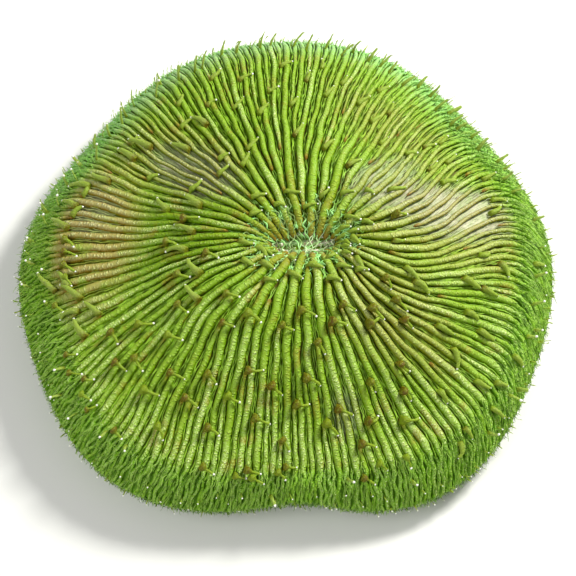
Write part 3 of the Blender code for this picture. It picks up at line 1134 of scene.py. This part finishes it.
@dataclass
class Septa:
    """The radiating ridges, cycle by cycle, with the threads between them and the costae below."""

    shape: DiscShape
    lines: SeptaLines
    sweep: RopeSweep
    fill: float = 0.44
    half_range: tuple[float, float] = (0.25 * MM, 1.2 * MM)
    pale_slimness: float = 0.38
    far_slimness: float = 0.16
    broad_growth: float = 0.55
    edge_growth: float = 0.45
    order_height: tuple[float, ...] = (1.07, 1.04, 1.0, 0.88, 0.80)
    end_length: float = 1.1 * MM
    outer_length: float = 2.5 * MM
    root_length: float = 2.6 * MM
    inner_reach: float = 0.17
    thread_height: float = 0.85 * MM
    thread_radius: float = 0.15 * MM
    squiggle: tuple[float, float] = (0.10 * MM, 0.36 * MM)
    skirt_half_width: float = 0.55 * MM
    skirt_weave: float = 0.24 * MM
    mouth_thread_count: int = 190
    cross_thread_count: int = 38
    cross_points: int = 14
    mouth_ends: tuple[float, float] = (0.002, 0.026)
    costa_start: float = 1.17
    costa_ends: tuple[float, float] = (1.60, 1.95)

    def _rail(
        self, line: int, chosen: Array, rails: Rails, half_width: Array, top: Array, aside: Array | float = 0.0
    ) -> None:
        """Adds one line's chosen points as a rail, its crest at a height over the valley.

        Args:
            line: The line's number.
            chosen: Indices of its points.
            rails: The rails it is added to.
            half_width: Half the flesh's width at each point.
            top: Height of its crest over the valley floor, at each point.
            aside: How far each point stands aside from the line.
        """
        lines = self.lines
        reach, turn, normal = (rows[line, chosen] for rows in (lines.reaches, lines.turn, lines.normal))
        drop = VALLEY_DEPTH.at(reach) - top + half_width
        points = lines.points[line, chosen] - drop[:, None] * normal
        points = points + np.broadcast_to(aside, reach.shape)[:, None] * lines.around[line, chosen]
        points[:, 2] = np.maximum(points[:, 2], half_width + 0.05 * MM)
        own = float(hash_share(line, 21))
        # The tone sets how much pale frosting a septum's crest gets: random for each septum, and partly painted
        # highlight.
        frost_and_highlight = 0.55 * own + 0.45 * (0.5 + 0.5 * np.sin(reach * (9 + 8 * own) + 40 * own))
        # Painted highlight: outer septa on the near side get more frosting, lighter as if lit.
        near = smooth_step(0.1, 0.6, -np.sin(turn))
        rails.add(
            points,
            normal,
            half_width=half_width,
            strand=own,
            tone=frost_and_highlight + 0.30 * near * smooth_step(0.62, 0.85, reach),
            inner=np.exp(-((reach / self.inner_reach) ** 2)),
            pale=tissue(Tissue.PALE, points),
            tan=tissue(Tissue.TAN, points),
            dusk=tissue(Tissue.DUSK, points),
            skirt=self.shape.on_skirt(turn, reach),
            mint=smooth_step(0.78, 1.00, reach) * smooth_step(0.1, 0.7, np.sin(turn)),
            root=np.exp(-travelled(points) / self.root_length) if lines.orders[line] < 5 else 0.0,
        )

    def ridges(self, order: int, name: str, material: Material) -> Object:
        """Makes the ridges of one cycle.

        Args:
            order: The cycle, from 1 to 5.
            name: The object's name.
            material: Its material.

        Returns:
            The ridges as one object.
        """
        lines, rails, fine = self.lines, Rails(), order == 5
        for line in np.flatnonzero(lines.orders == order):
            mouth_end = between(self.mouth_ends, float(hash_share(line, 8)))
            first = int(np.searchsorted(lines.reaches[line], max(lines.starts[line], mouth_end)))
            chosen = np.arange(first, lines.reaches.shape[1])[:: 2 if fine else 1]
            at = line, chosen
            reach, place, width = lines.reaches[at], lines.points[at], lines.width[at]
            spacing, grown = lines.spacing[at], lines.grown[at]
            on_skirt = self.shape.on_skirt(lines.turn[at], reach)
            half = self.fill * spacing * np.maximum(width, 0.55 * (1 - on_skirt))
            slim = self.far_slimness * smooth_step(0.0, 35 * MM, place[:, 1])
            plump = (self.broad_growth if order < 4 else 0.0) * tissue(Tissue.BROAD, place)
            half = np.clip(half, *self.half_range) * (1 - self.pale_slimness * tissue(Tissue.PALE, place))
            half = half * (1 - slim + plump)
            bare = smooth_step(0.80, 0.93, reach) * (1 - on_skirt)
            half = half * (1 + (-self.edge_growth if fine else self.edge_growth) * bare)
            own = self.skirt_half_width * (0.75 + 0.5 * float(hash_share(line, 9)))
            half = half + (np.minimum(half, own) - half) * on_skirt
            run = travelled(place)
            inner = np.clip(run / self.end_length, 0.0, 1.0)
            outer = np.clip((run[-1] - run) / self.outer_length, 0.0, 1.0)
            blunt = np.sqrt(1 - (1 - inner) ** 2) * np.sqrt(1 - (1 - outer) ** 2)
            half = half * np.maximum(blunt, 0.12)
            stand = self.order_height[order - 1] + (1 - self.order_height[order - 1]) * on_skirt
            top = VALLEY_DEPTH.at(reach) * stand * (0.75 + 0.25 * grown) * (0.5 + 0.5 * blunt)
            phase = 40.0 * float(hash_share(line, 6))
            weave = np.sin(reach * 118 + phase) + np.sin(reach * 61 + 3 * phase)
            aside = self.skirt_weave * on_skirt * weave
            self._rail(line, chosen, rails, half, top * (1 - 0.05 * on_skirt), aside)
        return self.sweep.sweep(rails, name, material, Flesh(6 if fine else 8, 1.6, 1.5 * MM, 0.34 * MM, order))

    def threads(self, name: str, material: Material) -> Object:
        """Makes the thin threads that run in the valleys before the septa start.

        Args:
            name: The object's name.
            material: Its material.

        Returns:
            The threads as one object.
        """
        lines, rails = self.lines, Rails()
        for line in np.flatnonzero(lines.orders > 1):
            shown = (lines.thread[line] > 0.25) & (lines.reaches[line] < lines.starts[line] + 0.02)
            chosen = np.flatnonzero(shown)[::2]
            if len(chosen) < 3:
                continue
            reach = lines.reaches[line, chosen]
            pale = tissue(Tissue.PALE, lines.points[line, chosen])
            half = self.thread_radius * np.clip(0.35 + from_ends(len(chosen)) / 3, 0.0, 1.0) * (1 - 0.85 * pale)
            phase = 40.0 * float(hash_share(line, 5))
            inner = np.exp(-((reach / self.inner_reach) ** 2))
            size = between(self.squiggle, inner)
            aside = size * (np.sin(reach * 150 + phase) + 0.6 * np.sin(reach * 95 + 2.3 * phase))
            self._rail(line, chosen, rails, half, np.full(len(chosen), self.thread_height), aside)
        return self.sweep.sweep(rails, name, material, Flesh(5, 2.0, 1.0 * MM, 0.22 * MM, 31))

    def mouth_threads(self, name: str, material: Material) -> Object:
        """Makes the net of squiggly threads that spreads from the mouth over the first septa.

        Args:
            name: The object's name.
            material: Its material.

        Returns:
            The threads as one object.
        """
        rails, rng = Rails(), np.random.default_rng(61)
        for number in range(self.mouth_thread_count):
            turn = 2 * math.pi * (number + 0.7 * rng.random()) / self.mouth_thread_count
            first = rng.uniform(0.0, 0.05)
            reach = np.arange(first, first + rng.uniform(0.05, 0.13), 0.005)
            size = self.shape.around_size(np.full(len(reach), turn), reach)
            phase = rng.uniform(0, 6.28, 2)
            sway = 0.50 * np.sin(reach * 105 + phase[0]) + 0.30 * np.sin(reach * 210 + phase[1])
            turns = turn + sway * MM / np.maximum(size, 4 * MM)
            normal = self.shape.frame_at(turns, reach)[2]
            half = rng.uniform(0.13, 0.20) * MM * np.clip(0.4 + from_ends(len(reach)) / 3, 0.0, 1.0)
            sink = (rng.uniform(0.1, 1.0) + 0.2 * np.sin(reach * 140 + phase[1])) * MM
            points = self.shape.surface(turns, reach) - sink[:, None] * normal
            rails.add(points, normal, half_width=half, inner=1.0, pale=0.25 * rng.random())
        for number in range(self.cross_thread_count):
            turn = math.pi * (number + 0.5 + 0.6 * rng.random()) / self.cross_thread_count
            ends = self.shape.surface(np.array([turn, -turn + rng.normal(0, 0.35)]), rng.uniform(0.0, 0.05, 2))
            share = np.linspace(0.0, 1.0, self.cross_points)
            phase = rng.uniform(0, 6.28, 2)
            points = ends[0] + share[:, None] * (ends[1] - ends[0])
            points[:, 0] += 0.5 * MM * np.sin(9 * share + phase[0])
            points[:, 2] -= (0.5 + 0.9 * rng.random() + 0.25 * np.sin(12 * share + phase[1])) * MM
            half = rng.uniform(0.12, 0.18) * MM * np.clip(0.4 + 3 * np.minimum(share, 1 - share), 0.0, 1.0)
            lift = np.tile([0.0, 0.0, 1.0], (len(points), 1))
            rails.add(points, lift, half_width=half, inner=1.0, pale=rng.random())
        return self.sweep.sweep(rails, name, material, Flesh(5, 1.0, 0.8 * MM, 0.16 * MM, 61))

    def costae(self, name: str, material: Material) -> Object:
        """Makes the low spiny ridges that radiate on the underside.

        Args:
            name: The object's name.
            material: Its material.

        Returns:
            The costae as one object.
        """
        rails, outer = Rails(), self.lines.turn[:, -1]
        looks = {"strand": 0.3, "tone": 0.2, "pale": 0.55, "tan": 0.2}
        looks |= dict.fromkeys(("inner", "dusk", "skirt", "mint", "root"), 0.0)
        for line in range(0, len(outer), 4):
            reach = np.arange(self.costa_start, self.costa_ends[0 if line % 16 else 1], 0.018)
            half = (0.62 - 0.30 * (reach - self.costa_start)) * MM
            half = half * np.clip(0.4 + from_ends(len(reach)) / 4, 0.0, 1.0)
            half = half * (1 + 0.16 * np.sin(reach * 150 + line))
            normal = self.shape.frame_at(outer[line], reach)[2]
            points = self.shape.surface(outer[line], reach) - half[:, None] * normal
            points[:, 2] = np.maximum(points[:, 2], half + 0.08 * MM)
            rails.add(points, normal, half_width=half, **looks)
        return self.sweep.sweep(rails, name, material, Flesh(6, 1.0, 1.0 * MM, 0.15 * MM, 41))


class Stance(Enum):
    """How a tentacle lies or stands: a knob with a tail, a low flap, long, a rim finger or a tip."""

    KNOB = "knob"
    FLAP = "flap"
    LONG = "long"
    FINGER = "finger"
    TIP = "tip"


@dataclass(frozen=True)
class Build:
    """Sizes of the tentacles of one stance, in millimetres, and their looks.

    Radii at the root and tip, the shares of the length between which it tapers, least and
    greatest length and bead, number of points, the heights of its arch where it lies, the
    share of its length where brown turns green, and how clear it is.
    """

    root: float
    tip: float
    taper: tuple[float, float]
    length: tuple[float, float]
    bead: tuple[float, float]
    points: int
    arch: tuple[float, float]
    turns_at: float
    clear: float


BUILDS = {
    Stance.KNOB: Build(1.18, 0.36, (0.40, 0.62), (3.5, 4.9), (0.24, 0.34), 16, (2.8, 1.2), 0.42, 0.0),
    Stance.FLAP: Build(0.92, 0.46, (0.35, 1.00), (3.8, 5.6), (0.20, 0.30), 14, (0.8, 0.9), 0.05, 0.35),
    Stance.LONG: Build(1.05, 0.48, (0.05, 1.0), (5.0, 7.0), (0.28, 0.36), 12, (1.2, 1.2), 0.05, 0.7),
    Stance.FINGER: Build(0.60, 0.34, (0.0, 1.0), (3.6, 5.2), (0.28, 0.36), 9, (0.0, 0.0), 0.0, 1.0),
    Stance.TIP: Build(0.24, 0.12, (0.0, 1.0), (1.4, 3.0), (0.13, 0.22), 6, (0.0, 0.0), 0.0, 0.5),
}


@dataclass
class Tentacles:
    """Short curved tentacles: low ones at the inner ends of septa, and fingers round the rim."""

    lines: SeptaLines
    shape: DiscShape
    sweep: RopeSweep
    dots: PointScatter
    rng: np.random.Generator = field(default_factory=lambda: np.random.default_rng(17))
    long_share: float = 0.5
    flap_gaps: float = 0.28
    hook: float = 32.0
    far_shrink: float = 0.22
    far_sink: float = 0.9 * MM
    rim_share: float = 0.24
    knob_reach: float = 0.27
    rails: Rails = field(default_factory=Rails)
    ends: Spots = field(default_factory=Spots)

    def _add(self, stance: Stance, control: list[Array], lift: Array, green: float, scale: float = 1.0) -> None:
        """Adds one tentacle along a cubic through four control points.

        Args:
            stance: How it stands.
            control: The curve's four control points, from root to tip.
            lift: Direction out of the surface at the root.
            green: How green its root is, rather than brown.
            scale: Scale of its thickness.
        """
        build = BUILDS[stance]
        flat = np.linspace(0.0, 1.0, build.points)
        share = flat[:, None]
        a, b, c, d = control
        points = (1 - share) ** 3 * a + 3 * (1 - share) ** 2 * share * b
        points = points + 3 * (1 - share) * share**2 * c + share**3 * d
        thick = scale * self.rng.uniform(0.85, 1.12)
        radius = thick * MM * (build.tip + (build.root - build.tip) * (1 - smooth_step(*build.taper, flat)))
        radius[-1] *= 0.7
        looks = {"out_share": flat, "green_root": green, "clear": build.clear, "turns_at": build.turns_at}
        self.rails.add(points, np.tile(lift, (len(points), 1)), half_width=radius, **looks)
        bead = self.rng.uniform(*build.bead) * MM
        self.ends.add(points[-1], unit(points[-1] - points[-2]), bead, 1.1 * bead)

    def _stance(self, root: Array, start: float) -> Stance:
        """Chooses how a tentacle lies from where it is on the disc.

        Args:
            root: Where it starts.
            start: The reach there.

        Returns:
            Its stance.
        """
        if root[0] < -18 * MM and root[1] > -30 * MM and self.rng.random() < self.long_share:
            return Stance.LONG
        inner = start < self.knob_reach or root[1] > 4 * MM or root[0] > 30 * MM
        return Stance.FLAP if inner else Stance.KNOB

    def _lying(self) -> None:
        """Adds the tentacles that lie over the ridges beside the inner end of each septum."""
        lines, rng = self.lines, self.rng
        for line in np.arange(len(lines.orders)):
            first, last = lines.orders[line] == 1, lines.orders[line] == 5
            if first and rng.random() < 0.45:
                continue
            if last and (rng.random() > self.rim_share or math.sin(lines.turn[line, -1]) > -0.15):
                continue
            start = 0.05 + 0.035 * rng.random() if first else lines.starts[line]
            at = int(np.searchsorted(lines.reaches[line], start + 0.006))
            root, normal = lines.points[line, at], lines.normal[line, at]
            stance = self._stance(root, start)
            flap = stance is Stance.FLAP
            if flap and rng.random() < self.flap_gaps:
                continue
            far = float(smooth_step(-0.015, 0.030, root[1]))
            lean = -30 + 80 * far + rng.normal(0, 16)
            if stance is Stance.LONG:
                lean = 142 + rng.normal(0, 14)
            drift = np.array([math.cos(math.radians(lean)), math.sin(math.radians(lean)), 0.0])
            side = unit(drift - normal * drift.dot(normal))
            scale = 0.65 if first else 0.85 if start < self.knob_reach or last else 1.0
            scale, sink = (scale * (1 - self.far_shrink * far), self.far_sink * far) if flap else (scale, 0.0)
            reach = rng.uniform(*BUILDS[stance].length) * MM * scale
            hook = math.radians(rng.normal(0, self.hook))
            bent = math.cos(hook) * side + math.sin(hook) * np.cross(normal, side)
            rise, fall = (scale * rng.uniform(0.8, 1.15) * height * MM for height in BUILDS[stance].arch)
            control = [
                root - 1.0 * MM * normal - 0.2 * MM * side,
                root + (rise - sink) * normal - 0.3 * MM * side,
                root + side * reach * 0.6 + (fall - sink) * normal,
                root + side * reach * 0.5 + bent * reach * 0.5 + 0.25 * MM * normal,
            ]
            greener = rng.random() < (0.65 if flap else 0.15)
            green = rng.uniform(0.6, 1.0) if greener else rng.uniform(0.0, 0.4)
            self._add(stance, control, normal, green, scale)

    def _standing(self, stance: Stance, count: int, low: float, high: float) -> None:
        """Adds tentacles that stand out round the rim.

        Args:
            stance: How they stand.
            count: How many.
            low: Least reach of their roots.
            high: Greatest reach of their roots.
        """
        rng = self.rng
        for number in range(count):
            turn = 2 * math.pi * (number + 0.8 * rng.random()) / count
            far = 0.5 + 0.5 * math.sin(turn)
            reach = rng.uniform(low, high) - 0.04 * far
            if stance is Stance.FINGER and rng.random() > 0.3 + 0.9 * far:
                continue
            root, normal = self.shape.surface(turn, reach), self.shape.frame_at(turn, reach)[2]
            outward = np.array([math.cos(turn), math.sin(turn), 0.1])
            lean = np.array([0.75, 0.15, 0.10]) * (0.35 + 0.65 * far)
            length = rng.uniform(*BUILDS[stance].length) * MM * (0.6 + 0.4 * far)
            aim = unit(0.7 * outward + (0.3 + 0.5 * far) * normal + lean + 0.2 * rng.normal(size=3))
            bend = unit(aim + 0.6 * lean + np.array([0.0, 0.0, 0.2]) + 0.25 * rng.normal(size=3))
            control = [
                root - 0.6 * MM * normal,
                root + 0.35 * length * aim,
                root + 0.65 * length * aim,
                root + 0.6 * length * aim + 0.4 * length * bend,
            ]
            self._add(stance, control, normal, rng.uniform(0.6, 1.0))

    def build(self, flesh: Material, knob: Material) -> list[Object]:
        """Makes every tentacle and its tip.

        Args:
            flesh: Material of the tentacles.
            knob: Material of the tips.

        Returns:
            The tentacles and the tips, an object each.
        """
        self._lying()
        self._standing(Stance.FINGER, 90, 0.89, 0.97)
        self._standing(Stance.TIP, 300, 0.95, 1.08)
        body = self.sweep.sweep(self.rails, "tentacles", flesh, Flesh(8, 1.0, 0.9 * MM, 0.50 * MM, 5))
        return [body, self.dots.scatter(self.ends, "tentacle_tips", knob, 8, False)]


@dataclass
class SkirtFringe:
    """Fine papillae and long threads that make the wall of the disc look furry."""

    lines: SeptaLines
    shape: DiscShape
    sweep: RopeSweep
    dots: PointScatter
    rng: np.random.Generator = field(default_factory=lambda: np.random.default_rng(23))
    step: int = 2
    first_reach: float = 0.80
    width: float = 0.12 * MM
    height: tuple[float, float] = (0.45 * MM, 1.15 * MM)
    hair_count: int = 4600
    hair_reach: tuple[float, float] = (0.80, 1.09)
    hair_span: tuple[float, float] = (0.024, 0.130)
    hair_radius: tuple[float, float] = (0.09 * MM, 0.16 * MM)
    hair_lift: tuple[float, float] = (0.25 * MM, 1.0 * MM)
    hair_wave: float = 0.38 * MM

    def papillae(self, material: Material) -> Object:
        """Makes the papillae.

        Args:
            material: Their material.

        Returns:
            The papillae as one object.
        """
        lines, spots, reaches = self.lines, Spots(), self.lines.reaches[0]
        for line in range(len(lines.orders)):
            for at in np.flatnonzero(reaches > self.first_reach)[line % self.step :: self.step]:
                normal, along, around = (v[line, at] for v in (lines.normal, lines.along, lines.around))
                root = lines.points[line, at] - 0.25 * MM * normal
                root = root + self.rng.uniform(-0.3, 0.3) * MM * around
                furry = float(self.shape.on_skirt(lines.turn[line, at], reaches[at]))
                if root[2] < 2.0 * MM or self.rng.random() > furry:
                    continue
                aim = unit(normal + 0.35 * along + 0.35 * self.rng.normal(size=3))
                height = self.rng.uniform(*self.height)
                spots.add(root + 0.4 * height * aim, aim, self.width, height)
        return self.dots.scatter(spots, "skirt_fringe", material, 3, True)

    def hairs(self, material: Material) -> Object:
        """Makes the long threads, which run down the wall.

        Args:
            material: Their material.

        Returns:
            The threads as one object.
        """
        rails, rng, count, share = Rails(), self.rng, self.hair_count, np.linspace(0.0, 1.0, 5)

        def drawn(least: float, most: float) -> Array:
            """Returns a random number from least to most for each thread, as a column."""
            return rng.uniform(least, most, (count, 1))

        turn = 2 * math.pi * (np.arange(count)[:, None] * GOLDEN % 1.0) + 0 * share
        long = drawn(0.0, 1.0) ** 3
        reach = drawn(*self.hair_reach) + between(self.hair_span, long) * share
        kept = rng.random(count) < self.shape.on_skirt(turn, reach)[:, 1]
        sway = np.sin(4 * share + drawn(0, 2 * math.pi)) + rng.normal(size=(count, 1)) * share
        turn = turn + self.hair_wave * sway / self.shape.around_size(turn, reach)
        normal = self.shape.frame_at(turn, reach)[2]
        lift = drawn(*self.hair_lift) * (1 + 1.1 * drawn(0.0, 1.0) ** 4) * share - 0.25 * MM
        radius = drawn(*self.hair_radius) * (1 - 0.6 * share) * (1 - 0.35 * long)
        points = self.shape.surface(turn, reach) + lift[..., None] * normal
        points[..., 2] = np.maximum(points[..., 2], radius + 0.3 * MM)
        tone = np.maximum(rng.random(count), long[:, 0])
        for hair in np.flatnonzero(kept):
            rails.add(points[hair], normal[hair], half_width=radius[hair], tone=tone[hair])
        return self.sweep.sweep(rails, "skirt_threads", material, Flesh(3, 1.0, 1.0 * MM, 0.0, 71))


@dataclass
class MouthLips:
    """The pale, folded lips round the mouth slit: a reach, depth and half width for each ring."""

    shape: DiscShape
    sweep: RopeSweep
    rings: tuple[tuple[float, float, float], ...] = ((0.0, 0.9 * MM, 0.85 * MM), (0.020, 1.3 * MM, 0.55 * MM))
    points: int = 150

    def build(self, material: Material) -> Object:
        """Makes the lips.

        Args:
            material: Their material.

        Returns:
            The lips as one object.
        """
        rails, turn = Rails(), np.linspace(0.0, 2 * math.pi, self.points)
        for number, (reach, drop, half) in enumerate(self.rings):
            ruffle = 0.5 * np.sin(5 * turn + number) + 0.3 * np.sin(11 * turn + 2)
            ruffle = ruffle + 0.3 * np.sin(19 * turn + number)
            normal = self.shape.frame_at(turn, reach)[2]
            points = self.shape.surface(turn, reach) - (drop + 0.35 * MM * ruffle)[:, None] * normal
            rails.add(points, normal, half_width=half * (1 + 0.40 * ruffle))
        return self.sweep.sweep(rails, "mouth_lips", material, Flesh(10, 1.0, 0.9 * MM, 1.3 * MM, 51))


@dataclass
class Studio:
    """Pale floor, soft lights and the camera at the photograph's angle."""

    elevation: float = 60.9
    distance: float = 430 * MM
    aim: tuple[float, float, float] = (0.9 * MM, -14.0 * MM, 18 * MM)
    lens: float = 102.1
    floor_half: float = 1.5
    floor_colour: Colour = (0.78, 0.78, 0.77)

    def floor(self) -> Object:
        """Makes the floor that the coral rests on.

        Returns:
            The floor.
        """
        mesh, half = bpy.data.meshes.new("floor"), self.floor_half
        corners = [(-half, -half, 0), (half, -half, 0), (half, half, 0), (-half, half, 0)]
        mesh.from_pydata(corners, [], [(0, 1, 2, 3)])
        paint = Paint("floor")
        darker = tuple(0.96 * c for c in self.floor_colour)
        colour = paint.mix(paint.noise(60 * MM, 2.0), self.floor_colour, darker)
        mesh.materials.append(paint.finish(colour, Roughness=0.8))
        return link("floor", mesh)

    def light(
        self, name: str, place: tuple[float, float, float], size: float, power: float, colour: Colour
    ) -> None:
        """Adds a square area light that faces the coral.

        Args:
            name: Its name.
            place: Where it is, in metres.
            size: Its side.
            power: Its power, in watts.
            colour: Its colour.
        """
        data = bpy.data.lights.new(name, "AREA")
        data.size, data.energy, data.color = size, power, colour
        obj = link(name, data)
        obj.location = place
        obj.rotation_euler = (Vector((0, 0, 0.015)) - Vector(place)).to_track_quat("-Z", "Y").to_euler()

    def camera(self) -> None:
        """Adds the camera and makes it the scene's."""
        data = bpy.data.cameras.new("camera")
        data.lens, data.sensor_width, data.sensor_fit = self.lens, 36.0, "HORIZONTAL"
        obj, rise = link("camera", data), math.radians(self.elevation)
        obj.location = Vector((0.0, -math.cos(rise), math.sin(rise))) * self.distance + Vector((0, 0, 18 * MM))
        obj.rotation_euler = (Vector(self.aim) - obj.location).to_track_quat("-Z", "Y").to_euler()
        bpy.context.scene.camera = obj

    def build(self) -> Object:
        """Sets up the studio.

        Returns:
            Its floor.
        """
        self.light("key", (0.35, 0.25, 0.39), 0.14, 5.3, (1.0, 0.99, 0.93))
        self.light("fill", (-0.42, -0.30, 0.52), 0.5, 2.7, (1.0, 1.0, 0.98))
        world = bpy.data.worlds.new("studio")
        world.use_nodes = True
        backdrop = world.node_tree.nodes["Background"]
        backdrop.inputs["Color"].default_value = (0.90, 0.90, 0.86, 1.0)
        backdrop.inputs["Strength"].default_value = 0.38
        bpy.context.scene.world = world
        bpy.context.scene.view_settings.view_transform = "Standard"
        self.camera()
        return self.floor()


def main() -> None:
    """Builds the coral piece by piece, and the studio round it."""
    logging.basicConfig(level=logging.INFO, format="%(name)s: %(message)s")
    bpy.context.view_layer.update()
    shape = DiscShape()
    lines = SeptaLayout(shape).lay()
    sweep, dots = RopeSweep(), PointScatter()
    skin = FleshDisc(shape).build(SkinFinish().build())
    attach(skin, BODY)
    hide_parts("coral")
    ridge, thread = RidgeFinish().build(), ThreadFinish().build()
    septa = Septa(shape, lines, sweep)
    names = ("septa_first", "septa_second", "septa_third", "septa_fourth", "septa_rim")
    pieces = [septa.ridges(order, name, ridge) for order, name in enumerate(names, 1)]
    pieces.append(septa.threads("valley_threads", thread))
    pieces.append(septa.mouth_threads("mouth_threads", thread))
    pieces.append(septa.costae("costae", ridge))
    pieces.append(MouthLips(shape, sweep).build(LipFinish().build()))
    fringe, fur = SkirtFringe(lines, shape, sweep, dots), FringeFinish().build()
    pieces += [fringe.papillae(fur), fringe.hairs(fur)]
    pieces += Tentacles(lines, shape, sweep, dots).build(TentacleFinish().build(), TipFinish().build())
    for piece in pieces:
        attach(piece, BODY)
    for piece in (skin, *pieces):
        piece.data.calc_loop_triangles()
        log.info("%s: %d triangles", piece.name, len(piece.data.loop_triangles))
    Studio().build()


if __name__ == "__main__":
    main()
